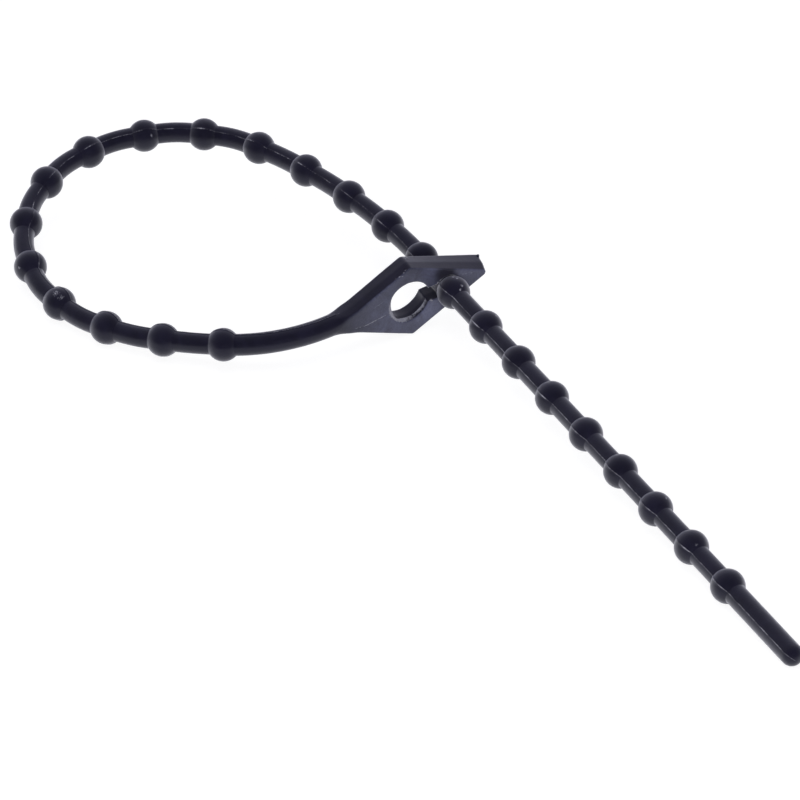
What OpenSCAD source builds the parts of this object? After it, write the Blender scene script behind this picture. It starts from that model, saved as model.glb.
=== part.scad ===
// Beaded cable tie, moulded in one piece and closed to a loop. The strap leaves one corner of the
// flat head, bends round, passes back through the head, and a bead keeps it from slipping out.
// The loop is worked out first in a frame of its own: its origin is the middle of the lock hole,
// +X is the way that the tail leaves, +Y runs along the head and +Z is up. Then the tie is laid
// down on the surface that it rests on.

/* [Strap] */
// Distance from one bead's centre to the next
bead_pitch = 6; // [5:0.25:7.5]
// Number of beads
bead_count = 24; // [19:1:32]
// Diameter of a bead
bead_d = 3.2; // [2.9:0.05:3.8]
// Diameter of the strap between two beads
neck_d = 2; // [1.6:0.05:2.2]
// Diameter of the plain stretch between the head and the first bead
plain_d = 2.1; // [1.8:0.05:2.4]
// Length of the plain stretch, from the head's corner to the first bead's centre
plain_len = 10; // [8:0.1:13]
// Diameter of the plain tip behind the last bead
tip_d = 2.1; // [1.6:0.05:2.4]
// Length of the tip, from the last bead's centre to its round end
tip_len = 11.3; // [5:0.1:20]

/* [Head] */
// Length of the head, between the points where its edges would meet
head_len = 17.8; // [16.4:0.1:20]
// Width of the head, between the points where its edges would meet
head_w = 8.4; // [7.8:0.1:10]
// Thickness of the head
head_t = 2.1; // [1.6:0.05:2.6]
// Radius of the head's rounded corners
corner_r = 0.45; // [0.4:0.05:1.4]
// How far the parting line stands out from the faces' outline
edge_draft = 0.1; // [0.05:0.01:0.2]
// Width of the bevel between a face and the edge
edge_bevel = 0.2; // [0.05:0.01:0.25]
// Radius of the hollow curve from the strap's side into the head's edge
root_r = 6; // [3:0.25:9]
// Angle at which the round strap widens into the flat head
root_angle = 32; // [28:1:45]

/* [Keyhole] */
// Diameter of the large hole, which lets a bead pass
pass_d = 4.4; // [3.9:0.05:4.8]
// Diameter of the lock hole, which holds a bead back
lock_d = 2.5; // [2.3:0.05:2.7]
// Width of the slot between the two holes
slot_w = 1.6; // [1.4:0.05:2.2]
// Distance from the head's middle to the lock hole's centre
lock_ahead = 3.95; // [3.6:0.05:4.5]
// Distance between the centres of the two holes
hole_gap = 4.25; // [4.1:0.05:4.8]
// Width of the bevel round the keyhole on both faces
hole_bevel = 0.15; // [0.05:0.01:0.25]

/* [Loop] */
// The bead that rests against the front of the head, counted from the head
locked_bead = 16; // [13:1:18]
// Play between that bead and the lock hole's edge
seat_play = 0.1; // [0.05:0.05:0.6]
// Turn of the first link as a share of a link's turn in the round end
first_share = 0.25; // [0.15:0.05:0.5]
// Number of links over which the turn grows to that of the round end
rise_links = 3; // [2:0.5:5]
// Number of links over which the round end straightens out again
fall_links = 1.5; // [1:0.25:3]
// Turn of a link in the long side, which leads back to the head, as the same share
side_share = 0.25; // [0.1:0.01:0.3]
// How far the near side of the loop sags below a smooth way from the head to the round end
dip = 1.65; // [1:0.05:2.2]
// The bead at which the strap is back at the level of the tail
dip_end_bead = 8; // [7:1:10]
// Angle by which the head hangs down at the corner where the strap starts
head_roll = 1; // [0:0.25:2]
// How far the head hangs down on the strap, as a share of the play in the lock hole
lock_sag = 0.4; // [0:0.1:0.8]
// The bead of the loop that touches the surface under the tie
rest_bead = 3; // [3:1:4]

/* [Hidden] */
$fn = 48;

// The strap turns clockwise through three quarters of a circle, from along the head to across it
loop_turn = 270;
root_heading = -90;
// Steps of the loop's solution, with the small changes that it tries
solve_steps = 10;
try_turn = 0.5;
try_link = 0.01;
first_guess = [40, 2.5];
// Overlap of solids that are joined, and how far a cutter reaches past a face
overlap = 0.3;
past = 1;
// Where two round surfaces would only touch, one is this much larger, so that they cross clearly
crossing = 0.01;

// Head
half_len = head_len / 2;
half_w = head_w / 2;
half_t = head_t / 2;
edge_angle = atan(half_w / half_len);
core_len = half_len - corner_r / sin(edge_angle);
core_w = half_w - corner_r / cos(edge_angle);
core_corners = [[core_len, 0], [0, core_w], [-core_len, 0], [0, -core_w]];
core_edge = norm([core_len, core_w]);
// The root's round end is a hair thicker than the strap, so that the strap starts inside it
root_end_r = plain_d / 2 + 2 * crossing;
// Centre of the hollow curve on one side of the root, and the point where it runs along the edge.
// The curve starts a little inside the round end's side and ends a little inside the edge, so that
// it crosses both at a clear angle.
root_half = plain_d / 2 - 3 * crossing;
root_taper = 1.2;
hollow = [((root_half + root_r) * cos(edge_angle) - root_r + 3 * crossing) / sin(edge_angle) - half_len,
          root_half + root_r];
hollow_end = hollow + root_r * [sin(edge_angle), -cos(edge_angle)];

// Places of the beads that lie just behind and just before the head, measured from its middle
seat = half_t + sqrt(pow(bead_d / 2, 2) - pow(lock_d / 2, 2)) + seat_play;
behind = bead_pitch - seat;
reach = half_len + lock_ahead;
head_drop = lock_sag * (lock_d - neck_d) / 2;
tail_links = bead_count - locked_bead + 1;
tail_len = tail_links * bead_pitch;

// Turns about two of the axes, and the place of a point of the head once it hangs on the strap
function about_x(p, a) = [p[0], p[1] * cos(a) - p[2] * sin(a), p[1] * sin(a) + p[2] * cos(a)];
function about_y(p, a) = [p[0] * cos(a) + p[2] * sin(a), p[1], p[2] * cos(a) - p[0] * sin(a)];
function hung(p) = about_x(p, head_roll) - [0, 0, head_drop];
root = hung([0, -reach, 0]);

// Links that bend: the plain stretch is link 0, and link i runs from bead i to bead i + 1
last_link = locked_bead - 2;
function link_len(i) = i == 0 ? plain_len : bead_pitch;
function length_to(i) = i == 0 ? 0 : plain_len + (i - 1) * bead_pitch;
dip_len = length_to(dip_end_bead);
// The strap leaves the head at the slope of its long axis and levels out at the end of the dip
function height(i) =
    let (t = min(length_to(i) / dip_len, 1))
    pow(1 - t, 2) * (root[2] * (1 + 2 * t) - tan(head_roll) * dip_len * t)
    - dip * pow(sin(180 * t), 2);

// Each link is an arc. Its turn follows a ramp up, a level stretch, a ramp down and a low rest.
function share(i, fall_at) =
    let (up = first_share + (1 - first_share) * (i - 1) / rise_links,
         down = (fall_at - i) / fall_links)
    max(side_share, min(up, down, 1));
function sum(list, i = 0) = i == len(list) ? 0 : list[i] + sum(list, i + 1);
function turns(root_turn, fall_at) =
    let (shares = [for (i = [1:last_link]) share(i, fall_at)])
    concat([root_turn], (loop_turn - root_turn) / sum(shares) * shares);
function chord(length, turn) = length * sin(turn / 2) / (turn / 2) * 180 / PI;

// A stop on the way is [x, y, z, heading]. Stop 0 is the head's corner, stop i is bead i.
function climb(i, turn) = asin((height(i + 1) - height(i)) / chord(link_len(i), turn));
function next_stop(stop, i, turn) =
    let (run = chord(link_len(i), turn) * cos(climb(i, turn)),
         way = stop[3] - turn / 2)
    [stop[0] + run * cos(way), stop[1] + run * sin(way), height(i + 1), stop[3] - turn];
function walk(turn_list, i = 0, stop = [root[0], root[1], root[2], root_heading]) =
    i > last_link ? [stop]
    : concat([stop], walk(turn_list, i + 1, next_stop(stop, i, turn_list[i])));

// The root's turn and the link at which the round end stops are solved for, by Newton's method,
// so that the last of these beads comes out on the lock hole's axis, just behind the head.
function miss(guess) =
    let (stop = walk(turns(guess[0], guess[1]))[last_link + 1])
    [stop[0] + behind, stop[1]];
function solved(guess, steps) =
    steps == 0 ? guess
    : let (off = miss(guess),
           a = (miss(guess + [try_turn, 0]) - off) / try_turn,
           b = (miss(guess + [0, try_link]) - off) / try_link,
           area = a[0] * b[1] - a[1] * b[0])
      solved(guess - [off[0] * b[1] - off[1] * b[0], a[0] * off[1] - a[1] * off[0]] / area,
             steps - 1);
answer = solved([first_guess[0], last_link - first_guess[1]], solve_steps);
link_turns = turns(answer[0], answer[1]);
stops = walk(link_turns);

function place(stop) = [stop[0], stop[1], stop[2]];
loop_beads = [for (i = [1:last_link + 1]) place(stops[i])];
tail_beads = [for (i = [locked_bead:bead_count]) [seat + (i - locked_bead) * bead_pitch, 0, 0]];
beads = concat(loop_beads, tail_beads);
tip_end = [tail_beads[len(tail_beads) - 1][0] + tip_len - tip_d / 2, 0, 0];

// The tie rests on three round spots, each given as [centre, radius]: a bead of the loop, the
// head's lower corner and, on the tail, the last bead or the tip's end, whichever reaches lower.
// The function gives the upward normal of the plane that touches three spots.
function touching(p, q, r) =
    let (u = q[0] - p[0], v = r[0] - p[0], w = cross(u, v),
         along = ((q[1] - p[1]) * cross(v, w) + (r[1] - p[1]) * cross(w, u)) / (w * w),
         up = w[2] < 0 ? -w : w)
    along + sqrt(1 - along * along) * up / norm(w);
loop_spot = [beads[rest_bead - 1], bead_d / 2];
head_spot = [hung([0, -lock_ahead, -core_w]), corner_r];
bead_spot = [beads[bead_count - 1], bead_d / 2];
tip_spot = [tip_end, tip_d / 2];
trial = touching(loop_spot, bead_spot, head_spot);
tail_spot = (tip_end - bead_spot[0]) * trial < tip_spot[1] - bead_spot[1] ? tip_spot : bead_spot;
normal = touching(loop_spot, tail_spot, head_spot);
tilt = [atan2(normal[1], normal[2]), -atan2(normal[0], norm([normal[1], normal[2]])), 0];
function laid(p) = about_y(about_x(p, tilt[0]), tilt[1]);

// The part's origin is the middle of its outline, on the surface
laid_beads = [for (p = beads) laid(p)];
bead_x = [for (p = laid_beads) p[0]];
bead_y = [for (p = laid_beads) p[1]];
low_x = min(bead_x) - bead_d / 2;
high_x = laid(tip_end)[0] + tip_d / 2;
low_y = min(bead_y) - bead_d / 2;
high_y = max(max(bead_y) + bead_d / 2, laid(hung([0, core_len - lock_ahead, 0]))[1] + corner_r);
mid_x = (low_x + high_x) / 2;
mid_y = (low_y + high_y) / 2;
surface_z = laid(loop_spot[0])[2] - loop_spot[1];
shift = [-mid_x, -mid_y, -surface_z];

// A slice through the head's edge: the distance outwards, and the height
function edge_profile(reach_out, start) = [
    [start, -half_t],
    [reach_out - edge_draft - edge_bevel, -half_t],
    [reach_out - edge_draft, edge_bevel - half_t],
    [reach_out, 0],
    [reach_out - edge_draft, half_t - edge_bevel],
    [reach_out - edge_draft - edge_bevel, half_t],
    [start, half_t]];

// The head lies flat here: +X runs from the strap to the far corner, and +Z is its front. The
// corner at the strap is left out, because the root fills it.
module head_outline() {
    linear_extrude(height = head_t, center = true)
        polygon(core_corners);
    for (i = [0:3]) {
        from = core_corners[i];
        to = core_corners[(i + 1) % 4];
        translate([to[0], to[1], 0])
            rotate([90, 0, atan2(to[1] - from[1], to[0] - from[0]) - 90])
            linear_extrude(height = core_edge)
            polygon(edge_profile(corner_r - crossing, -overlap));
    }
    for (i = [0, 1, 3])
        translate([core_corners[i][0], core_corners[i][1], 0])
            rotate_extrude()
            polygon(edge_profile(corner_r, 0));
}

// Fills the corner between the strap's side and the head's edge, with the same drafted edge
module root_web() {
    difference() {
        linear_extrude(height = head_t, center = true)
            polygon([[hollow[0], 0], [hollow[0], hollow[1] - root_r], hollow_end,
                     [hollow_end[0] + hollow_end[1] * tan(edge_angle), 0]]);
        translate([hollow[0], hollow[1], 0])
            rotate_extrude()
            polygon([[0, -half_t - past],
                     [root_r + edge_draft + edge_bevel + past, -half_t - past],
                     [root_r + edge_draft + edge_bevel, -half_t],
                     [root_r + edge_draft, edge_bevel - half_t],
                     [root_r, 0],
                     [root_r + edge_draft, half_t - edge_bevel],
                     [root_r + edge_draft + edge_bevel, half_t],
                     [root_r + edge_draft + edge_bevel + past, half_t + past],
                     [0, half_t + past]]);
    }
}

module keyhole() {
    for (hole = [[0, lock_d / 2], [-hole_gap, pass_d / 2]])
        translate([hole[0], 0, 0]) {
            cylinder(h = head_t + 2 * past, r = hole[1], center = true);
            for (turned = [0, 180])
                rotate([turned, 0, 0])
                translate([0, 0, half_t - hole_bevel - overlap])
                cylinder(h = overlap + hole_bevel + past, r1 = hole[1] - overlap,
                         r2 = hole[1] + hole_bevel + past);
        }
    translate([-hole_gap / 2, 0, 0])
        cube([hole_gap, slot_w, head_t + 2 * past], center = true);
}

module head() {
    intersection() {
        difference() {
            union() {
                head_outline();
                root_web();
                mirror([0, 1, 0]) root_web();
            }
            translate([lock_ahead, 0, 0]) keyhole();
        }
        translate([hollow[0] - overlap, 0, 0])
            rotate([0, 90, 0])
            cylinder(h = head_len, r1 = root_end_r - overlap * tan(root_angle),
                     r2 = root_end_r + (head_len - overlap) * tan(root_angle));
    }
    // The round end starts just outside the head's corner, runs in between the faces and tapers off
    translate([-half_len - overlap / 2, 0, 0])
        rotate([0, 90, 0]) {
            cylinder(h = root_taper + hollow[0] + half_len, r = root_end_r);
            translate([0, 0, root_taper + hollow[0] + half_len])
                cylinder(h = plain_d, r1 = root_end_r, r2 = 0.8 * min(root_end_r, half_t));
        }
}

// One link, from the origin to a point on +X: an arc that turns clockwise by its turn
module link(length, turn, d) {
    r = length / turn * 180 / PI;
    translate([chord(length, turn) / 2, -r * cos(turn / 2), 0])
        rotate([0, 0, 90 - turn / 2])
        rotate_extrude(angle = turn)
        translate([r, 0])
        circle(d = d);
}

// A bead of the bent strap with the link that leads up to it
module bent_step(i) {
    stop = stops[i];
    turn = link_turns[i];
    translate(place(stop))
        rotate([0, -climb(i, turn), stop[3] - turn / 2])
        link(link_len(i), turn, i == 0 ? plain_d : neck_d);
    bead(beads[i], stop[3] - turn);
}

// A bead's poles lie on the strap
module bead(p, heading) {
    translate(p)
        rotate([0, 90, heading])
        rotate([0, 0, 45])
        sphere(d = bead_d);
}

module straight_strap() {
    translate([-behind, 0, 0])
        rotate([0, 90, 0])
        cylinder(h = tail_len, d = neck_d);
    for (i = [locked_bead:bead_count])
        bead(beads[i - 1], 0);
    translate(beads[bead_count - 1])
        rotate([0, 90, 0])
        cylinder(h = tip_len - tip_d / 2, d = tip_d);
    translate(tip_end) sphere(d = tip_d);
}

module cable_tie() {
    color("#1e1c28")
        translate(shift)
        rotate(tilt) {
            translate([0, 0, -head_drop])
                rotate([head_roll, 0, 0])
                rotate([90, 0, 90])
                translate([-lock_ahead, 0, 0])
                head();
            for (i = [0:last_link])
                bent_step(i);
            straight_strap();
        }
}

cable_tie();
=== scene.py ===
import math

import bmesh
import bpy
from bpy.props import FloatProperty, FloatVectorProperty, IntProperty, PointerProperty
from mathutils import Euler, Matrix, Vector, noise


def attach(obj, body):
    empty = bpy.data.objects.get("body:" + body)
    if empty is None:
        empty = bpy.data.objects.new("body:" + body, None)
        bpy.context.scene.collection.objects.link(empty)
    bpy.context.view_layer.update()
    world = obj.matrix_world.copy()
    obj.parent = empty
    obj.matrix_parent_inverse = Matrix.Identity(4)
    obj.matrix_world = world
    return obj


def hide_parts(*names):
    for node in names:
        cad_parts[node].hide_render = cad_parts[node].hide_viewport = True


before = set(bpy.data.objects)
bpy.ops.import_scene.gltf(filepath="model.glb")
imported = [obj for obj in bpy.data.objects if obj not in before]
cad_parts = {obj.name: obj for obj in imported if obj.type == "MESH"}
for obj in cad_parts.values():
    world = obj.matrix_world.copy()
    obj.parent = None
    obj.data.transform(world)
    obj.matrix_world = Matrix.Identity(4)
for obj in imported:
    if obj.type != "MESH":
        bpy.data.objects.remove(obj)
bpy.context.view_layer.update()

bl_info = {
    "name": "Beaded Cable Tie",
    "version": (1, 0, 0),
    "blender": (4, 5, 0),
    "location": "3D View > Sidebar > Cable Tie",
    "description": "Dresses the packed cable tie with its moulded strap, head and studio",
    "category": "Object",
}

MM = 0.001

# How the closed tie lies on the floor. The loop's own frame has its origin in the middle of the
# lock hole. Its +X is the way that the tail leaves, +Y runs along the head and +Z is up.
LAID = (
    Matrix.Translation(Vector((-12.2155, 14.5989, 4.53956)))
    @ Euler((math.radians(3.43214), math.radians(3.31213), 0.0)).to_matrix().to_4x4()
)
# How the loop closes: the turn of the plain stretch in degrees, the number of bent links between
# beads, and the link at which the round end stops. The links' turns grow from a first share over
# some links, and fall over others to the share of the side that leads back to the head.
ROOT_TURN = 41.4193
LINKS = 14
FALL_AT = 11.4689
FIRST_SHARE, RISE_LINKS, FALL_LINKS, SIDE_SHARE = 0.25, 3.0, 1.5, 0.25
# Links over which the near side hangs, and the bead that rests on the head's front
HANG_LINKS = 7
HELD_BEAD = 16
# Half the length of a bead that stays straight, as a share of its diameter
STRAIGHT_SHARE = 0.36


class TieSizes(bpy.types.PropertyGroup):
    """Sizes of the tie, as moulded"""

    bead_pitch: FloatProperty(
        name="Bead pitch", description="Distance between beads, in mm", default=6.0, min=4.0,
    )
    bead_d: FloatProperty(name="Bead diameter", description="Diameter of a bead, in mm", default=3.2, min=1.0)
    bead_count: IntProperty(name="Beads", description="Number of beads", default=24, min=17)
    neck_d: FloatProperty(
        name="Neck diameter", description="Diameter of the strap between beads, in mm", default=2.0,
    )
    neck_fillet: FloatProperty(
        name="Neck fillet", description="Radius where a bead meets the strap, in mm", default=0.14,
    )
    plain_d: FloatProperty(
        name="Plain diameter", description="Diameter of the plain stretch at the head, in mm", default=2.1,
    )
    plain_len: FloatProperty(name="Plain length", description="Length of that stretch, in mm", default=10.0)
    tip_d: FloatProperty(name="Tip diameter", description="Diameter of the plain tip, in mm", default=2.1)
    tip_len: FloatProperty(
        name="Tip length", description="Length from the last bead to the tip's end, in mm", default=11.3,
    )
    flash: FloatProperty(
        name="Seam flash", description="Height of the thin seam along the strap, in mm", default=0.07,
    )
    dip: FloatProperty(
        name="Hang", description="How far the near side of the loop hangs down, in mm", default=1.65,
    )
    head_roll: FloatProperty(
        name="Head roll", description="How far the head hangs down at the strap's root, in degrees", default=1.0,
    )
    lock_sag: FloatProperty(
        name="Head sag", description="Share of the lock hole's play by which the head hangs down", default=0.4,
    )

    head_len: FloatProperty(
        name="Head length", description="Length of the head between its sharp points, in mm", default=17.8,
    )
    head_w: FloatProperty(
        name="Head width", description="Width of the head between its sharp points, in mm", default=8.4,
    )
    head_t: FloatProperty(name="Head thickness", description="Thickness of the head, in mm", default=2.1)
    corner_r: FloatProperty(
        name="Corner radius", description="Radius of the head's corners, in mm", default=0.45,
    )
    draft: FloatProperty(name="Draft", description="How far the parting line stands out, in mm", default=0.1)
    parting: FloatProperty(
        name="Parting line", description="Parting line's height before the head's middle, in mm", default=0.1,
    )
    mismatch: FloatProperty(
        name="Mismatch", description="How far the back leans out at the far corner, in mm", default=0.5,
    )
    root_r: FloatProperty(
        name="Root radius", description="Radius of the hollow curve from strap to head, in mm", default=6.0,
    )
    pass_d: FloatProperty(
        name="Pass hole", description="Diameter of the hole that a bead passes, in mm", default=4.4,
    )
    lock_d: FloatProperty(
        name="Lock hole", description="Diameter of the hole that holds a bead back, in mm", default=2.5,
    )
    slot_w: FloatProperty(
        name="Slot width", description="Width of the slot between the holes, in mm", default=1.6,
    )
    lock_ahead: FloatProperty(
        name="Lock hole's place", description="Distance from the head's middle, in mm", default=3.95,
    )
    hole_gap: FloatProperty(
        name="Hole gap", description="Distance between the holes' centres, in mm", default=4.25,
    )
    grid: FloatProperty(
        name="Skin grid", description="Width of the faces of the head's skin, in mm", default=0.065,
    )


class TieFinish(bpy.types.PropertyGroup):
    """Colours of the tie"""

    plastic: FloatVectorProperty(
        name="Plastic", description="Colour of the black plastic", subtype="COLOR", size=3,
        min=0.0, max=1.0, default=(0.005, 0.0042, 0.0125),
    )
    # Colour of the painted sheen: the head's flat faces are painted lighter and bluer than the plastic, standing
    # in for the front light's reflection on them
    painted_sheen: FloatVectorProperty(
        name="Dull face", description="Colour of the head's flat faces, which are a little dull",
        subtype="COLOR", size=3, min=0.0, max=1.0, default=(0.17, 0.18, 0.28),
    )
    # Colour of torn plastic, which also paints highlights along the seam and at the pass hole's rim
    stressed_and_shine: FloatVectorProperty(
        name="Stressed plastic", description="Colour of the plastic where the mould has torn it",
        subtype="COLOR", size=3, min=0.0, max=1.0, default=(0.42, 0.42, 0.47),
    )


def sizes():
    return bpy.context.scene.tie_sizes


# The way of the strap


# Turn of the moulding's seam from the strap's top towards the loop's inside: distance along the
# strap in mm, and turn in degrees
SEAM_TURNS = ((0.0, 0.0), (16.0, 20.0), (40.0, 30.0), (75.0, 32.0), (100.0, 50.0), (200.0, 52.0))
ENDLESS = 1e6
SLOPE_STEP = 0.05


def link_turns():
    """Turn of each link, in degrees: the plain stretch first, then those between two beads."""
    shares = []
    for i in range(1, LINKS + 1):
        up = FIRST_SHARE + (1 - FIRST_SHARE) * (i - 1) / RISE_LINKS
        shares.append(max(SIDE_SHARE, min(up, (FALL_AT - i) / FALL_LINKS, 1)))
    unit = (270 - ROOT_TURN) / sum(shares)
    return [ROOT_TURN] + [unit * share for share in shares]


def hung(s):
    """How the head hangs on the strap in the lock hole."""
    sag = s.lock_sag * (s.lock_d - s.neck_d) / 2
    return Matrix.Translation((0, 0, -sag)) @ Matrix.Rotation(math.radians(s.head_roll), 4, "X")


def direction(heading):
    return Vector((math.cos(heading), math.sin(heading)))


def chord_of(length, turn):
    """Straight distance between the two ends of an arc."""
    return length * math.sin(turn / 2) / (turn / 2)


class Way:
    """The strap's middle line. A distance along it is counted from the head's corner, in mm."""

    def __init__(self, s):
        self.dip, self.pitch, self.plain = s.dip, s.bead_pitch, s.plain_len
        self.dip_len = s.plain_len + HANG_LINKS * s.bead_pitch
        self.stiff = STRAIGHT_SHARE * s.bead_d
        self.root = hung(s) @ Vector((0, -s.head_len / 2 - s.lock_ahead, 0))
        self.slope = -math.tan(math.radians(s.head_roll))
        self.stops = []
        heading, place, start = math.radians(-90), self.root.xy, 0.0
        for i, turn in enumerate(link_turns()):
            length, turn = (s.plain_len if i == 0 else s.bead_pitch), math.radians(turn)
            chord = chord_of(length, turn)
            level = math.sqrt(1 - ((self.height(start + length) - self.height(start)) / chord) ** 2)
            self.stops.append((start, length, heading, turn, place, level))
            place = place + level * chord * direction(heading - turn / 2)
            heading, start = heading - turn, start + length
        self.stops.append((start, ENDLESS, heading, 0.0, place, 1.0))

    def bead(self, i):
        return self.plain + (i - 1) * self.pitch

    def height(self, d):
        t = min(d / self.dip_len, 1.0)
        if t < 0:
            return self.root.z + self.slope * d
        ease = (1 - t) ** 2 * (self.root.z * (1 + 2 * t) + self.slope * self.dip_len * t)
        return ease - self.dip * math.sin(math.pi * t) ** 2

    def level(self, d):
        """Place and heading in the loop's plane. Beads stay straight, so the necks take the bend."""
        k = max(i for i, stop in enumerate(self.stops) if stop[0] <= max(d, 0.0))
        start, length, heading, turn, place, level = self.stops[k]
        run = d - start
        if turn == 0.0 or run < 0:
            return place + run * direction(heading), heading
        held = 0.0 if k == 0 else self.stiff
        bend = length - 2 * held
        straight = 2 * held * math.cos(turn / 2) + 2 * bend / turn * math.sin(turn / 2)
        fit = level * chord_of(length, turn) / straight

        def bent(part):
            a = turn * part / bend
            return 2 * bend / turn * math.sin(a / 2) * direction(heading - a / 2)

        if run <= held:
            return place + fit * run * direction(heading), heading
        if run <= held + bend:
            there = place + fit * (held * direction(heading) + bent(run - held))
            return there, heading - turn * (run - held) / bend
        after = run - held - bend
        there = place + fit * (held * direction(heading) + bent(bend) + after * direction(heading - turn))
        return there, heading - turn

    def frame(self, d):
        """Place, and the strap's own directions: along, to its left and up from it."""
        flat, heading = self.level(d)
        slope = (self.height(d + SLOPE_STEP) - self.height(d - SLOPE_STEP)) / (2 * SLOPE_STEP)
        tangent = Vector((math.cos(heading), math.sin(heading), slope)).normalized()
        left = Vector((-math.sin(heading), math.cos(heading), 0))
        return Vector((flat.x, flat.y, self.height(d))), tangent, left, tangent.cross(left)

    def twist(self, d):
        """How far the seam has turned at a distance."""
        for (a, va), (b, vb) in zip(SEAM_TURNS, SEAM_TURNS[1:]):
            if d < b:
                t = max(d - a, 0.0) / (b - a)
                return math.radians(va + (vb - va) * t * t * (3 - 2 * t))
        return math.radians(SEAM_TURNS[-1][1])


# Meshes


def new_mesh(name, bm, material, place=None):
    """Makes the piece: in metres, with its place in its mesh, riding on the tie."""
    if place is not None:
        bm.transform(place)
    bm.transform(LAID)
    bm.transform(Matrix.Scale(MM, 4))
    mesh = bpy.data.meshes.new(name)
    bm.to_mesh(mesh)
    bm.free()
    mesh.shade_smooth()
    mesh.materials.append(material)
    piece = bpy.data.objects.new(name, mesh)
    bpy.context.scene.collection.objects.link(piece)
    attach(piece, "root")
    return piece


def clamped(value):
    return min(max(value, 0.0), 1.0)


def fade(distance, reach):
    """1 at a place, and smoothly less until 0 at its reach."""
    return max(1 - (distance / reach) ** 2, 0.0) ** 2


# The strap


# The strap's end inside the head: its distance and radius, and where it is as thick as the strap
STUB_END, STUB_R, STUB_FULL = -2.0, 0.9, -1.2
# Steps of the outline: the length of one on a neck in mm, and how many are on a fillet, on a bead,
# on the tip's round end and round the strap
NECK_STEP = 0.45
FILLET_STEPS, BEAD_STEPS, TIP_STEPS, ROUND_STEPS = 3, 20, 9, 96
# The seam: waves in a mm, two rows of the noise for its two sides, how uneven its height is, how
# white it is in the loop and in the tail, and how uneven that is. The white is partly whitened flash
# and partly a painted highlight along the ridge. Points nearer to the middle line than a radius belong
# to the strap's ends.
SEAM_WAVES, SEAM_ROW, SEAM_TOP, SEAM_UNDER = 0.9, 3.0, 0.0, 7.0
END_R = 0.3
SEAM_ROUGH, SEAM_WHITE_AND_SHINE, TAIL_WHITE_AND_SHINE, WHITE_ROUGH = 0.8, 0.38, 0.52, 0.55
# Flecks on beads: bead, side of it, reach in mm and whitening. Their edge is broken by a noise.
FLECKS = (
    (16, (-0.28, 0.16, 0.94), 0.3, 0.65),
    (16, (-0.05, 0.3, 0.94), 0.25, 0.65),
    (16, (0.54, 0.28, 0.79), 0.26, 0.6),
    (16, (0.75, 0.05, 0.7), 0.22, 0.55),
    (5, (0.25, -0.85, 0.47), 0.25, 0.6),
    (4, (0.1, -0.2, 1.0), 0.7, 0.42),
    (4, (0.5, -0.1, 0.9), 0.6, 0.42),
    (9, (0.8, 0.1, 0.5), 0.3, 0.5),
    (17, (0.2, 0.6, 0.8), 0.3, 0.4),
    (22, (0.3, 0.5, 0.8), 0.3, 0.45),
    (23, (0.6, -0.1, 0.7), 0.35, 0.35),
)
FLECK_WAVES, FLECK_ROUGH = 9, 1.5


def strap_outline(s, way):
    """Distance and radius of points along the strap, from its end inside the head to the tip."""
    bead_r, fillet = s.bead_d / 2, s.neck_fillet
    plain_r, neck_r, tip_r = s.plain_d / 2, s.neck_d / 2, s.tip_d / 2
    points = [(STUB_END, 0.0), (STUB_END, STUB_R), (STUB_FULL, plain_r)]

    def bead_end(radius):
        """How far from a bead's middle its fillet reaches, and the angle at which it meets the bead"""
        out = math.sqrt((bead_r + fillet) ** 2 - (radius + fillet) ** 2)
        return out, math.atan2(radius + fillet, out)

    def neck(start, end, radius):
        steps = max(int((end - start) / NECK_STEP), 2)
        points.extend((start + (end - start) * i / steps, radius) for i in range(1, steps + 1))

    at = STUB_FULL
    for i in range(1, s.bead_count + 1):
        middle = way.bead(i)
        before = plain_r if i == 1 else neck_r
        after = tip_r if i == s.bead_count else neck_r
        out, angle = bead_end(before)
        neck(at, middle - out, before)
        for k in range(1, FILLET_STEPS + 1):
            a = (math.pi / 2 - angle) * k / FILLET_STEPS
            points.append((middle - out + fillet * math.sin(a), before + fillet - fillet * math.cos(a)))
        out_b, angle_b = bead_end(after)
        first, last = math.pi - angle, angle_b
        for k in range(1, BEAD_STEPS):
            a = first + (last - first) * k / BEAD_STEPS
            points.append((middle + bead_r * math.cos(a), bead_r * math.sin(a)))
        for k in range(FILLET_STEPS, -1, -1):
            a = (math.pi / 2 - angle_b) * k / FILLET_STEPS
            points.append((middle + out_b - fillet * math.sin(a), after + fillet - fillet * math.cos(a)))
        at = middle + out_b
    end = way.bead(s.bead_count) + s.tip_len - tip_r
    neck(at, end, tip_r)
    for k in range(1, TIP_STEPS):
        a = math.pi / 2 * k / TIP_STEPS
        points.append((end + tip_r * math.sin(a), tip_r * math.cos(a)))
    points.append((end + tip_r, 0.0))
    return points


def raise_seam(bm, s, way, worn_and_shine):
    """Raises the two rows of the straight strap where the mould's halves met, and whitens them, partly as a
    painted highlight along the ridge.
    """
    for v in bm.verts:
        radius = math.hypot(v.co.y, v.co.z)
        if radius > END_R and abs(v.co.y) < 1e-4:
            row = SEAM_TOP if v.co.z > 0 else SEAM_UNDER
            rough = noise.noise(Vector((v.co.x * SEAM_WAVES, SEAM_ROW, row)))
            v.co.z *= (radius + s.flash * (1 + SEAM_ROUGH * rough)) / radius
            # Whitening of the seam: partly whitened flash, partly a painted highlight along the ridge
            white = TAIL_WHITE_AND_SHINE if v.co.x > way.bead(HELD_BEAD) else SEAM_WHITE_AND_SHINE
            v[worn_and_shine] = white + WHITE_ROUGH * rough


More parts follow.
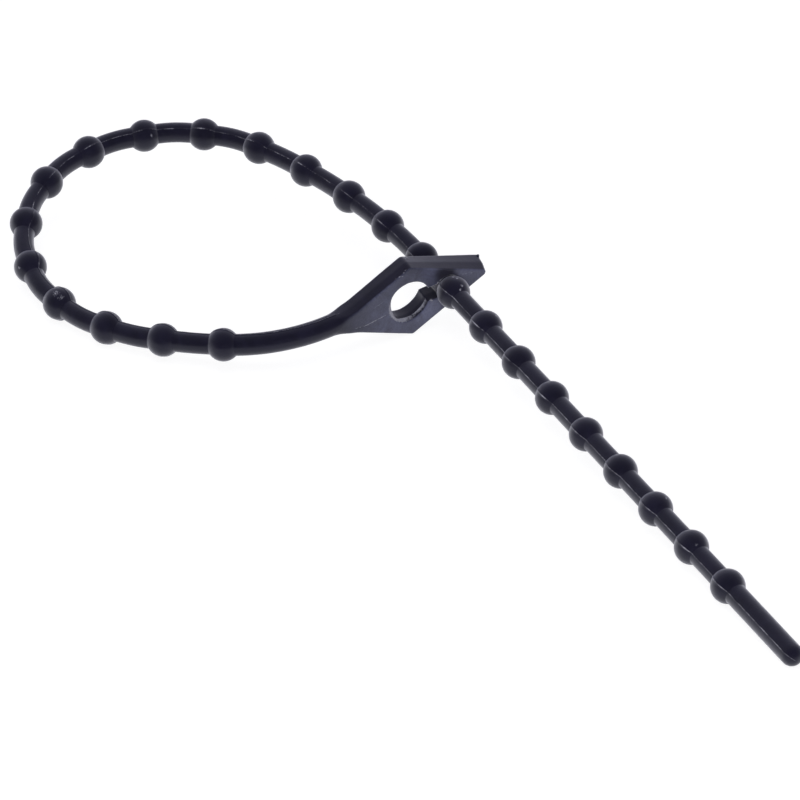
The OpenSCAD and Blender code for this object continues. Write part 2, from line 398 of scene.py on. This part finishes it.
class TIE_OT_strap(bpy.types.Operator):
    """Turn the strap and its beads from one outline, raise the seam and bend it to the loop"""

    bl_idname = "tie.strap"
    bl_label = "Make the beaded strap"

    def execute(self, context):
        s = sizes()
        way = Way(s)
        bm = bmesh.new()
        chain = [bm.verts.new((d, r, 0.0)) for d, r in strap_outline(s, way)]
        for a, b in zip(chain, chain[1:]):
            bm.edges.new((a, b))
        bmesh.ops.spin(
            bm, geom=bm.verts[:] + bm.edges[:], cent=(0, 0, 0), axis=(1, 0, 0),
            angle=2 * math.pi, steps=ROUND_STEPS, use_merge=True,
        )
        bmesh.ops.remove_doubles(bm, verts=bm.verts, dist=1e-5)
        bmesh.ops.recalc_face_normals(bm, faces=bm.faces)
        worn_and_shine = bm.verts.layers.float.new("worn_and_shine")
        raise_seam(bm, s, way, worn_and_shine)
        for v in bm.verts:
            place, along, left, up = way.frame(v.co.x)
            turn = way.twist(v.co.x)
            across = math.cos(turn) * left + math.sin(turn) * up
            seam = math.cos(turn) * up - math.sin(turn) * left
            v.co = place + v.co.y * across + v.co.z * seam
        for i, side, reach, white in FLECKS:
            spot = way.frame(way.bead(i))[0] + s.bead_d / 2 * Vector(side).normalized()
            for v in bm.verts:
                away = (v.co - spot).length
                if away < reach:
                    rough = 1 + FLECK_ROUGH * noise.noise(v.co * FLECK_WAVES)
                    v[worn_and_shine] = max(v[worn_and_shine], white * fade(away, reach) * rough)
        strap = new_mesh("tie_strap", bm, black_plastic())
        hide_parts("cable_tie")
        return {"FINISHED"}


# The head


# The outline: how far it lies inside the strap's side at the root, how far it goes on behind the
# head's sharp point, and the steps of its far corner, side corners, hollow curves and holes
ROOT_IN, ROOT_BEHIND = 0.03, 0.6
FAR_STEPS, SIDE_STEPS, HOLLOW_STEPS, PASS_STEPS, LOCK_STEPS = 24, 12, 16, 72, 40
# The round root inside the head: length, and how far its middle is from the head's sharp point
ROOT_LEN, ROOT_MIDDLE, ROOT_SIDES = 3.2, 1.0, 64
# The root's radius grows from a narrow place, which is this far behind the hollow curves' centres:
# slope before that place, slope after it and how fast that one grows, over a length, all in mm
NARROW_BEHIND, FLARE_BEFORE, FLARE_AFTER, FLARE_MORE, FLARE_LEN = 0.3, 0.12, 0.06, 0.11, 4
# The skin is smoothed up to a distance from the narrow place, which grows by a step, and all over
SMOOTH_FIRST, SMOOTH_STEP, SMOOTH_ROUNDS, SMOOTH_ALL = 1.0, 0.2, 28, 5

# Places on the head, in mm: +X towards the far corner, +Y up and +Z to the front.
# Burrs and dents: place, shift, reach and how much they whiten the plastic
NICKS = (
    ((8.15, 0.28, -0.8), (0.3, 0.36, 0.0), 0.24, 0.7),
    ((8.45, 0.0, 0.7), (0.06, -0.03, 0.0), 0.3, 0.35),
    ((-0.75, 3.8, 0.95), (0.03, 0.07, 0.03), 0.14, 0.9),
    ((-0.45, 3.95, 0.75), (0.0, -0.05, 0.0), 0.2, 0.45),
    ((-1.6, 3.4, 0.95), (0.0, 0.05, 0.02), 0.16, 0.5),
    ((0.4, 4.05, -0.7), (0.0, 0.05, 0.0), 0.5, 0.4),
    ((1.35, 0.9, 0.95), (0.02, -0.2, 0.06), 0.3, 0.95),
    ((1.75, 0.8, 0.97), (0.0, -0.12, 0.06), 0.3, 0.95),
    ((2.2, 0.8, 0.97), (0.0, -0.1, 0.06), 0.3, 0.85),
    ((2.7, 0.78, 1.0), (0.02, -0.06, 0.08), 0.3, 1.2),
    ((2.95, 0.9, 1.0), (-0.05, -0.02, 0.06), 0.3, 1.2),
    ((3.3, 1.12, 1.0), (-0.02, -0.02, 0.05), 0.3, 1.0),
    ((2.72, 0.2, 1.0), (0.1, 0.0, 0.05), 0.3, 1.2),
    ((2.72, -0.2, 1.0), (0.1, 0.0, 0.05), 0.3, 1.2),
    ((2.8, -0.7, 1.0), (0.08, 0.05, 0.04), 0.3, 1.0),
    ((3.1, -1.0, 1.0), (0.0, 0.06, 0.04), 0.3, 0.8),
    ((1.5, -0.95, 1.0), (0.0, 0.12, 0.04), 0.3, 0.75),
    ((2.15, -0.82, 1.0), (0.0, 0.08, 0.04), 0.3, 0.7),
)
# How uneven they are: least share, noise and waves in a mm, for the whitening and for the shift
NICK_WHITE, NICK_SHIFT = (0.8, 0.7, 11), (0.7, 0.9, 6)
# Scratches: two ends and whitening. All have one width and depth, and only points this near the
# first end along the head are tried.
SCRATCHES = (
    ((-5.1, -0.75, 1.05), (-2.9, -0.45, 1.05), 0.6),
    ((-6.2, -0.6, 1.05), (-4.7, -0.8, 1.05), 0.45),
    ((-2.2, 3.3, 0.9), (-1.4, 3.55, 0.95), 0.6),
    ((-1.4, 3.55, 0.95), (-0.85, 3.45, 1.05), 0.7),
    ((-4.2, 0.9, 1.05), (-3.1, 1.3, 1.05), 0.35),
    ((4.4, 1.2, 1.05), (6.9, 0.5, 1.05), 0.35),
    ((-1.3, 4.0, -0.2), (-0.2, 4.15, -0.2), 0.6),
)
SCRATCH_W, SCRATCH_DEEP, SCRATCH_NEAR = 0.09, 0.012, 3
# Torn arcs of the pass hole's rim: middle and reach in degrees, distance out from the rim and
# reach in mm, and whitening. The first arc's whitening is also a painted highlight, the rim's
# reflection of the white floor. Only points in a band at the rim are tried: its width and depth.
RIM_ARCS = ((215, 110, 0.02, 0.16, 1.1), (310, 60, 0.01, 0.1, 0.8))
RIM_BAND_W, RIM_BAND_DEEP = 0.3, 0.6
# The thin lip in the pass hole: middle and reach in degrees, then in mm its depth under the front
# and reach there, its foot's width and reach beyond it, and how far it stands in, and whitening,
# which is partly a painted highlight, the rim's reflection of the white floor
LIP_AT, LIP_ROUND = 190, 75
LIP_UNDER, LIP_DEEP, LIP_FOOT, LIP_BEYOND, LIP_PULL, LIP_WHITE_AND_SHINE = 0.24, 0.34, 0.1, 0.12, 0.42, 1.2
# Painted sheen: the flat faces are painted lighter, standing in for the front light's reflection on
# them. Its strength, and spots that have more or less of it: place, reach and difference. The last
# spot is a painted dark patch, the reflection and shade of bead 16, which rests on the front. The
# painted sheen starts a distance from the head's sharp point and is full after a length. It starts at a
# share of half the thickness too, and is full after a further share.
SHEEN_PAINT_LEVEL = 0.6
SHEEN_PAINT_SPOTS = (((1.6, -2.0), 2.2, 0.4), ((-1.0, 3.0), 3.5, -0.2), ((3.8, 1.7), 1.7, -0.8))
SHEEN_PAINT_FROM, SHEEN_PAINT_FULL, FLAT_FROM, FLAT_FULL = 1.2, 3.5, 0.84, 0.13
# The back leans out this way, growing from the head's middle over a length
LEAN_WAY, LEAN_LEN = Vector((0.7, 0.7, 0.0)), 8


def arc(bm, centre, start, turn, steps):
    """Spins a vertex round a centre. Returns the arc's two ends."""
    first = bm.verts.new((centre[0] + start[0], centre[1] + start[1], 0.0))
    made = bmesh.ops.spin(
        bm, geom=[first], cent=(centre[0], centre[1], 0.0), axis=(0, 0, 1),
        angle=math.radians(turn), steps=steps, use_merge=False,
    )
    return first, made["geom_last"][0]


def join_ends(bm, ends):
    for (_, last), (first, _) in zip(ends, ends[1:] + ends[:1]):
        bm.edges.new((last, first))


def draw_outline(bm, s):
    """Edges round the head. Returns how far along it the hollow curves' centres are."""
    half_len, half_w = s.head_len / 2, s.head_w / 2
    edge = math.atan2(half_w, half_len)
    deg, sine, cosine = math.degrees(edge), math.sin(edge), math.cos(edge)
    r, big = s.corner_r, s.root_r
    core_len, core_w = half_len - r / sine, half_w - r / cosine
    side = s.plain_d / 2 - ROOT_IN
    hollow = (((side + big) * cosine - big) / sine - half_len, side + big)
    end = -half_len - ROOT_BEHIND
    ends = [
        arc(bm, (core_len, 0), (r * sine, -r * cosine), 180 - 2 * deg, FAR_STEPS),
        arc(bm, (0, core_w), (r * sine, r * cosine), 2 * deg, SIDE_STEPS),
        arc(bm, hollow, (big * sine, -big * cosine), -deg, HOLLOW_STEPS),
    ]
    corner_a = bm.verts.new((end, side, 0.0))
    corner_b = bm.verts.new((end, -side, 0.0))
    ends += [(corner_a, corner_a), (corner_b, corner_b)]
    ends += [
        arc(bm, (hollow[0], -hollow[1]), (0, big), -deg, HOLLOW_STEPS),
        arc(bm, (0, -core_w), (-r * sine, -r * cosine), 2 * deg, SIDE_STEPS),
    ]
    join_ends(bm, ends)
    return hollow[0]


def draw_keyhole(bm, s):
    """Edges of the pass hole, the slot and the lock hole."""
    pass_r, lock_r, slot = s.pass_d / 2, s.lock_d / 2, s.slot_w / 2
    pass_at = s.lock_ahead - s.hole_gap
    pass_x, lock_x = math.sqrt(pass_r ** 2 - slot ** 2), math.sqrt(lock_r ** 2 - slot ** 2)
    pass_deg, lock_deg = math.degrees(math.asin(slot / pass_r)), math.degrees(math.asin(slot / lock_r))
    join_ends(bm, [
        arc(bm, (pass_at, 0), (pass_x, slot), 360 - 2 * pass_deg, PASS_STEPS),
        arc(bm, (s.lock_ahead, 0), (-lock_x, -slot), 360 - 2 * lock_deg, LOCK_STEPS),
    ])


def grown_together(bm, grid):
    """Gives closed shells that overlap one skin with soft edges."""
    mesh = bpy.data.meshes.new("shells")
    bm.to_mesh(mesh)
    bm.free()
    shells = bpy.data.objects.new("shells", mesh)
    bpy.context.scene.collection.objects.link(shells)
    skin = shells.modifiers.new("Skin", "REMESH")
    skin.mode = "VOXEL"
    skin.voxel_size = grid
    skin.adaptivity = 0.0
    depsgraph = bpy.context.evaluated_depsgraph_get()
    made = bpy.data.meshes.new_from_object(shells.evaluated_get(depsgraph))
    bpy.data.objects.remove(shells)
    bm = bmesh.new()
    bm.from_mesh(made)
    bpy.data.meshes.remove(made)
    bpy.data.meshes.remove(mesh)
    return bm


def round_root(bm, s, narrow):
    """Draws the skin in to the round strap before the head, and smooths it from there on."""
    strap_r = s.plain_d / 2
    for v in bm.verts:
        if v.co.x < narrow + FLARE_LEN:
            out = math.hypot(v.co.y, v.co.z)
            ahead = v.co.x - narrow
            limit = strap_r + (FLARE_AFTER if ahead > 0 else FLARE_BEFORE) * ahead
            limit += FLARE_MORE * max(ahead, 0.0) * ahead
            if out > limit:
                v.co.y *= limit / out
                v.co.z *= limit / out
    reaches = [SMOOTH_FIRST + SMOOTH_STEP * i for i in range(SMOOTH_ROUNDS)] + [s.head_len] * SMOOTH_ALL
    for reach in reaches:
        bmesh.ops.smooth_vert(
            bm, verts=[v for v in bm.verts if v.co.x < narrow + reach], factor=0.5,
            use_axis_x=True, use_axis_y=True, use_axis_z=True,
        )


def line_distance(p, a, b):
    along = b - a
    t = clamped((p - a).dot(along) / along.length_squared)
    return (p - a - t * along).length


def uneven(place, least, rough, waves):
    return least + rough * noise.noise(place * waves)


def wear_head(bm, s):
    """Burrs, the torn keyhole, scratches and the lean, with a mask of whitened plastic, partly painted
    highlights at the pass hole's rim, and a mask of painted sheen on the flat faces.
    """
    worn_and_shine = bm.verts.layers.float.new("worn_and_shine")
    painted_sheen_mask = bm.verts.layers.float.new("painted_sheen_mask")
    pass_at, pass_r = s.lock_ahead - s.hole_gap, s.pass_d / 2
    front, half_len = s.head_t / 2, s.head_len / 2
    nicks = [(Vector(place), Vector(shift), reach, white) for place, shift, reach, white in NICKS]
    scratches = [(Vector(a), Vector(b), white) for a, b, white in SCRATCHES]
    for v in bm.verts:
        white, shift = 0.0, Vector((0, 0, 0))
        for place, pull, reach, mark in nicks:
            share = fade((v.co - place).length, reach)
            white = max(white, mark * min(2 * share, 1.0) * uneven(v.co, *NICK_WHITE))
            shift += share * pull * uneven(v.co, *NICK_SHIFT)
        for a, b, mark in scratches:
            if abs(v.co.x - a.x) < SCRATCH_NEAR:
                share = fade(line_distance(v.co, a, b), SCRATCH_W)
                white = max(white, mark * share)
                shift.z -= SCRATCH_DEEP * share
        # Whitening at the pass hole's rim and lip: partly torn plastic, partly a painted highlight of the white
        # floor's reflection
        rim = math.hypot(v.co.x - pass_at, v.co.y) - pass_r
        if rim < RIM_BAND_W and v.co.z > front - RIM_BAND_DEEP:
            angle = math.degrees(math.atan2(v.co.y, v.co.x - pass_at)) % 360
            for middle, spread, out, reach, mark in RIM_ARCS:
                white = max(white, mark * fade(angle - middle, spread) * fade(rim - out, reach))
            lip = fade(angle - LIP_AT, LIP_ROUND) * fade(v.co.z - front + LIP_UNDER, LIP_DEEP)
            lip *= fade(max(rim - LIP_FOOT, 0.0), LIP_BEYOND)
            white = max(white, LIP_WHITE_AND_SHINE * lip)
            shift -= LIP_PULL * lip * Vector((v.co.x - pass_at, v.co.y, 0)).normalized()
        v[worn_and_shine] = white
        # Painted sheen on the flat faces, standing in for reflected light, with a painted dark patch where bead
        # 16 is reflected and shades the face
        sheen_layer = SHEEN_PAINT_LEVEL
        for (x, y), reach, more in SHEEN_PAINT_SPOTS:
            sheen_layer += more * fade(math.hypot(v.co.x - x, v.co.y - y), reach)
        sheen_layer *= clamped((v.co.x + half_len - SHEEN_PAINT_FROM) / SHEEN_PAINT_FULL)
        v[painted_sheen_mask] = max(sheen_layer, 0.0) * clamped((abs(v.co.z) / front - FLAT_FROM) / FLAT_FULL)
        lean = s.mismatch * (0.5 - 0.5 * v.co.z / front) * clamped(v.co.x / LEAN_LEN)
        shift += lean * LEAN_WAY
        v.co += shift


class TIE_OT_head(bpy.types.Operator):
    """Raise the head from its outline with the keyhole, and grow it together with the strap's root"""

    bl_idname = "tie.head"
    bl_label = "Make the keyhole head"

    def execute(self, context):
        s = sizes()
        half_t, strap_r = s.head_t / 2, s.plain_d / 2
        bm = bmesh.new()
        hollow_at = draw_outline(bm, s)
        draw_keyhole(bm, s)
        bmesh.ops.triangle_fill(bm, use_beauty=True, use_dissolve=False, edges=bm.edges)
        bmesh.ops.recalc_face_normals(bm, faces=bm.faces)
        if sum(f.normal.z for f in bm.faces) < 0:
            bmesh.ops.reverse_faces(bm, faces=bm.faces)
        front = bm.faces[:]
        back = [g for g in bmesh.ops.duplicate(bm, geom=front)["geom"] if isinstance(g, bmesh.types.BMFace)]
        bmesh.ops.reverse_faces(bm, faces=back)
        for faces, depth in ((front, half_t - s.parting), (back, half_t + s.parting)):
            bmesh.ops.inset_region(
                bm, faces=faces, thickness=s.draft, depth=depth, use_even_offset=True, use_boundary=True,
            )
        bmesh.ops.remove_doubles(bm, verts=bm.verts, dist=1e-4)
        bmesh.ops.translate(bm, verts=bm.verts, vec=(0, 0, s.parting))
        bmesh.ops.recalc_face_normals(bm, faces=bm.faces)
        root_at = Matrix.Translation((-s.head_len / 2 + ROOT_MIDDLE, 0, 0))
        bmesh.ops.create_cone(
            bm, cap_ends=True, segments=ROOT_SIDES, radius1=strap_r, radius2=strap_r, depth=ROOT_LEN,
            matrix=root_at @ Matrix.Rotation(math.pi / 2, 4, "Y"),
        )
        bm = grown_together(bm, s.grid)
        round_root(bm, s, hollow_at - NARROW_BEHIND)
        wear_head(bm, s)
        upright = Matrix(((0, 0, 1, 0), (1, 0, 0, -s.lock_ahead), (0, 1, 0, 0), (0, 0, 0, 1)))
        head = new_mesh("tie_head", bm, black_plastic(), hung(s) @ upright)
        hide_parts("cable_tie")
        return {"FINISHED"}


# Finish


def add(nodes, kind, place, **values):
    node = nodes.new(kind)
    node.location = place
    for key, value in values.items():
        setattr(node, key, value)
    return node


def moulded_skin():
    """Node group: the fine skin of a moulded part, with flow marks, a mask of its wear that also holds painted
    highlights, and a mask of painted sheen.
    """
    name = "Moulded skin"
    if name in bpy.data.node_groups:
        return bpy.data.node_groups[name]
    group = bpy.data.node_groups.new(name, "ShaderNodeTree")
    for label, value in (("Grain", 5200.0), ("Flow", 420.0)):
        socket = group.interface.new_socket(label, in_out="INPUT", socket_type="NodeSocketFloat")
        socket.default_value = value
    for label in ("Height", "Dull", "Torn and shine", "Painted sheen"):
        group.interface.new_socket(label, in_out="OUTPUT", socket_type="NodeSocketFloat")
    nodes, links = group.nodes, group.links
    given = add(nodes, "NodeGroupInput", (-900, 0))
    where = add(nodes, "ShaderNodeTexCoord", (-900, -200))
    grain = add(nodes, "ShaderNodeTexNoise", (-600, 200))
    grain.inputs["Detail"].default_value = 3.0
    flow = add(nodes, "ShaderNodeTexNoise", (-600, -100))
    flow.inputs["Detail"].default_value = 6.0
    flow.inputs["Distortion"].default_value = 1.5
    for pattern, label in ((grain, "Grain"), (flow, "Flow")):
        links.new(where.outputs["Object"], pattern.inputs["Vector"])
        links.new(given.outputs[label], pattern.inputs["Scale"])
    both = add(nodes, "ShaderNodeMix", (-300, 100), data_type="FLOAT")
    both.inputs["Factor"].default_value = 0.35
    links.new(flow.outputs["Fac"], both.inputs["A"])
    links.new(grain.outputs["Fac"], both.inputs["B"])
    dull = add(nodes, "ShaderNodeMapRange", (-300, -150))
    dull.inputs["From Min"].default_value = 0.35
    dull.inputs["From Max"].default_value = 0.7
    links.new(flow.outputs["Fac"], dull.inputs["Value"])
    # Whitening of torn plastic, which also holds painted highlights along the seam and at the pass hole's rim
    worn_and_shine = add(nodes, "ShaderNodeAttribute", (-600, -400), attribute_name="worn_and_shine")
    fleck_and_shine = add(nodes, "ShaderNodeMath", (-400, -400), operation="MULTIPLY_ADD")
    fleck_and_shine.inputs[1].default_value = 1.35
    links.new(worn_and_shine.outputs["Fac"], fleck_and_shine.inputs[0])
    links.new(grain.outputs["Fac"], fleck_and_shine.inputs[2])
    torn_and_shine = add(nodes, "ShaderNodeMapRange", (-200, -400), interpolation_type="SMOOTHSTEP")
    torn_and_shine.inputs["From Min"].default_value = 0.78
    torn_and_shine.inputs["From Max"].default_value = 1.5
    links.new(fleck_and_shine.outputs[0], torn_and_shine.inputs["Value"])
    # Mask of the painted sheen on the flat faces, made uneven by the grain
    painted_sheen = add(nodes, "ShaderNodeAttribute", (-600, -650), attribute_name="painted_sheen_mask")
    uneven = add(nodes, "ShaderNodeMapRange", (-400, -650))
    uneven.inputs["From Min"].default_value = 0.36
    uneven.inputs["From Max"].default_value = 0.66
    uneven.inputs["To Min"].default_value = 0.45
    links.new(both.outputs["Result"], uneven.inputs["Value"])
    painted_sheen_mask = add(nodes, "ShaderNodeMath", (-200, -650), operation="MULTIPLY")
    links.new(painted_sheen.outputs["Fac"], painted_sheen_mask.inputs[0])
    links.new(uneven.outputs["Result"], painted_sheen_mask.inputs[1])
    result = add(nodes, "NodeGroupOutput", (0, 0))
    links.new(both.outputs["Result"], result.inputs["Height"])
    links.new(dull.outputs["Result"], result.inputs["Dull"])
    links.new(torn_and_shine.outputs["Result"], result.inputs["Torn and shine"])
    links.new(painted_sheen_mask.outputs[0], result.inputs["Painted sheen"])
    return group


def black_plastic():
    """Satin black plastic with a faint blue tint."""
    name = "Black plastic"
    if name in bpy.data.materials:
        return bpy.data.materials[name]
    finish = bpy.context.scene.tie_finish
    material = bpy.data.materials.new(name)
    material.use_nodes = True
    nodes, links = material.node_tree.nodes, material.node_tree.links
    shader = nodes["Principled BSDF"]
    shader.inputs["IOR"].default_value = 1.4
    shader.inputs["Specular Tint"].default_value = (0.8, 0.82, 1.0, 1.0)
    shader.inputs["Sheen Weight"].default_value = 0.8
    shader.inputs["Sheen Roughness"].default_value = 0.45
    shader.inputs["Sheen Tint"].default_value = (0.88, 0.88, 1.0, 1.0)
    skin = add(nodes, "ShaderNodeGroup", (-700, 0), node_tree=moulded_skin())
    colour = add(nodes, "ShaderNodeMix", (-350, 250), data_type="RGBA")
    tone = Vector(finish.plastic)
    colour.inputs["A"].default_value = (*(tone * 0.85), 1.0)
    colour.inputs["B"].default_value = (*(tone * 1.45), 1.0)
    links.new(skin.outputs["Dull"], colour.inputs["Factor"])
    # Painted sheen: the flat faces take a lighter, bluer colour that stands in for reflected light
    sheen_layer = add(nodes, "ShaderNodeMix", (-250, 450), data_type="RGBA")
    sheen_layer.inputs["B"].default_value = (*finish.painted_sheen, 1.0)
    links.new(skin.outputs["Painted sheen"], sheen_layer.inputs["Factor"])
    links.new(colour.outputs["Result"], sheen_layer.inputs["A"])
    # Torn plastic and painted highlights take the light stressed colour
    tear_and_shine = add(nodes, "ShaderNodeMix", (-150, 300), data_type="RGBA")
    tear_and_shine.inputs["B"].default_value = (*finish.stressed_and_shine, 1.0)
    links.new(skin.outputs["Torn and shine"], tear_and_shine.inputs["Factor"])
    links.new(sheen_layer.outputs["Result"], tear_and_shine.inputs["A"])
    links.new(tear_and_shine.outputs["Result"], shader.inputs["Base Color"])
    rough = add(nodes, "ShaderNodeMapRange", (-350, 0))
    rough.inputs["To Min"].default_value = 0.28
    rough.inputs["To Max"].default_value = 0.4
    links.new(skin.outputs["Dull"], rough.inputs["Value"])
    links.new(rough.outputs["Result"], shader.inputs["Roughness"])
    bump = add(nodes, "ShaderNodeBump", (-350, -250))
    bump.inputs["Strength"].default_value = 0.6
    bump.inputs["Distance"].default_value = 0.04 * MM
    links.new(skin.outputs["Height"], bump.inputs["Height"])
    links.new(bump.outputs["Normal"], shader.inputs["Normal"])
    return material


# Stage


# Half the floor's width, in metres
FLOOR_HALF = 3.0
# Lamps: name, place and diameter in metres, and power in watts
LAMPS = (
    ("Overhead", (0.05, -0.1, 0.9), 0.9, 3.0),
    ("Back", (-0.6, 0.5, 0.45), 0.8, 1.0),
    ("Side", (-0.6, -0.7, 0.5), 0.6, 1.0),
    ("Front", (0.42, -0.16, 0.16), 0.3, 1.0),
)
# The camera's place in mm, and its own directions
EYE_PLACE = Vector((324.148, -188.088, 277.774))
EYE_RIGHT = Vector((0.50316, 0.86417, 0.00691))
EYE_UP = Vector((-0.51329, 0.29241, 0.80687))
EYE_AHEAD = Vector((-0.69525, 0.40953, -0.59069))


def seen_directly(nodes, links):
    """1 for rays from the camera, a gloss or a clear part, which see the backdrop itself."""
    path = add(nodes, "ShaderNodeLightPath", (-900, 400))
    first = add(nodes, "ShaderNodeMath", (-700, 400), operation="MAXIMUM")
    second = add(nodes, "ShaderNodeMath", (-500, 400), operation="MAXIMUM")
    links.new(path.outputs["Is Camera Ray"], first.inputs[0])
    links.new(path.outputs["Is Glossy Ray"], first.inputs[1])
    links.new(first.outputs[0], second.inputs[0])
    links.new(path.outputs["Is Transmission Ray"], second.inputs[1])
    return second.outputs[0]


def lay_floor(scene):
    """A white floor that keeps the tie's shadow."""
    bm = bmesh.new()
    bmesh.ops.create_grid(bm, x_segments=1, y_segments=1, size=FLOOR_HALF)
    mesh = bpy.data.meshes.new("floor")
    bm.to_mesh(mesh)
    bm.free()
    floor = bpy.data.objects.new("floor", mesh)
    scene.collection.objects.link(floor)
    white = bpy.data.materials.new("White sweep")
    white.use_nodes = True
    nodes, links = white.node_tree.nodes, white.node_tree.links
    shader = nodes["Principled BSDF"]
    shader.inputs["Base Color"].default_value = (0.25, 0.25, 0.25, 1.0)
    shader.inputs["Roughness"].default_value = 1.0
    shader.inputs["Specular IOR Level"].default_value = 0.0
    shader.inputs["Emission Color"].default_value = (0.9, 0.9, 0.9, 1.0)
    links.new(seen_directly(nodes, links), shader.inputs["Emission Strength"])
    mesh.materials.append(white)


def set_world(scene):
    """White all round for the camera, and for the tie white at the floor and a dim room above."""
    world = bpy.data.worlds.new("Studio")
    scene.world = world
    world.use_nodes = True
    nodes, links = world.node_tree.nodes, world.node_tree.links
    sky = nodes["Background"]
    where = add(nodes, "ShaderNodeTexCoord", (-1100, 0))
    split = add(nodes, "ShaderNodeSeparateXYZ", (-900, 0))
    links.new(where.outputs["Generated"], split.inputs["Vector"])
    height = add(nodes, "ShaderNodeMapRange", (-700, 0), interpolation_type="SMOOTHSTEP")
    height.inputs["From Min"].default_value = -0.02
    height.inputs["From Max"].default_value = 0.06
    links.new(split.outputs["Z"], height.inputs["Value"])
    room = add(nodes, "ShaderNodeMix", (-500, 0), data_type="RGBA")
    room.inputs["A"].default_value = (1.0, 1.0, 1.0, 1.0)
    room.inputs["B"].default_value = (0.12, 0.12, 0.18, 1.0)
    links.new(height.outputs["Result"], room.inputs["Factor"])
    pick = add(nodes, "ShaderNodeMix", (-250, 0), data_type="RGBA")
    pick.inputs["B"].default_value = (1.0, 1.0, 1.0, 1.0)
    links.new(room.outputs["Result"], pick.inputs["A"])
    path = add(nodes, "ShaderNodeLightPath", (-500, 300))
    links.new(path.outputs["Is Camera Ray"], pick.inputs["Factor"])
    links.new(pick.outputs["Result"], sky.inputs["Color"])
    sky.inputs["Strength"].default_value = 1.0


class TIE_OT_stage(bpy.types.Operator):
    """Lay the white floor, set the soft light and place the camera"""

    bl_idname = "tie.stage"
    bl_label = "Set the studio"

    def execute(self, context):
        scene = context.scene
        scene.view_settings.view_transform = "Standard"
        lay_floor(scene)
        set_world(scene)
        for name, place, size, power in LAMPS:
            lamp = bpy.data.lights.new(name, "AREA")
            lamp.shape = "DISK"
            lamp.size = size
            lamp.energy = power
            holder = bpy.data.objects.new(name, lamp)
            holder.location = place
            holder.rotation_euler = (-Vector(place)).to_track_quat("-Z", "Y").to_euler()
            holder.visible_glossy = False
            scene.collection.objects.link(holder)
        eye = bpy.data.cameras.new("camera")
        eye.lens = 225.0
        eye.sensor_width = 36.0
        eye.clip_start, eye.clip_end = 0.01, 20.0
        holder = bpy.data.objects.new("camera", eye)
        turn = Matrix((EYE_RIGHT, EYE_UP, -EYE_AHEAD)).transposed().to_4x4()
        holder.matrix_world = Matrix.Translation(EYE_PLACE * MM) @ turn
        scene.collection.objects.link(holder)
        scene.camera = holder
        return {"FINISHED"}


class TIE_PT_panel(bpy.types.Panel):
    """The tie's sizes, finish and pieces"""

    bl_idname = "TIE_PT_panel"
    bl_label = "Cable Tie"
    bl_space_type = "VIEW_3D"
    bl_region_type = "UI"
    bl_category = "Cable Tie"

    def draw(self, context):
        for group in (context.scene.tie_sizes, context.scene.tie_finish):
            column = self.layout.column()
            for key in group.__annotations__:
                column.prop(group, key)
        for operator in STEPS:
            self.layout.operator(operator.bl_idname)


STEPS = (TIE_OT_strap, TIE_OT_head, TIE_OT_stage)
CLASSES = (TieSizes, TieFinish) + STEPS + (TIE_PT_panel,)


def register():
    for cls in CLASSES:
        bpy.utils.register_class(cls)
    bpy.types.Scene.tie_sizes = PointerProperty(type=TieSizes)
    bpy.types.Scene.tie_finish = PointerProperty(type=TieFinish)


def unregister():
    del bpy.types.Scene.tie_finish
    del bpy.types.Scene.tie_sizes
    for cls in reversed(CLASSES):
        bpy.utils.unregister_class(cls)


def main():
    register()
    bpy.ops.tie.strap()
    bpy.ops.tie.head()
    bpy.ops.tie.stage()


if __name__ == "__main__":
    main()
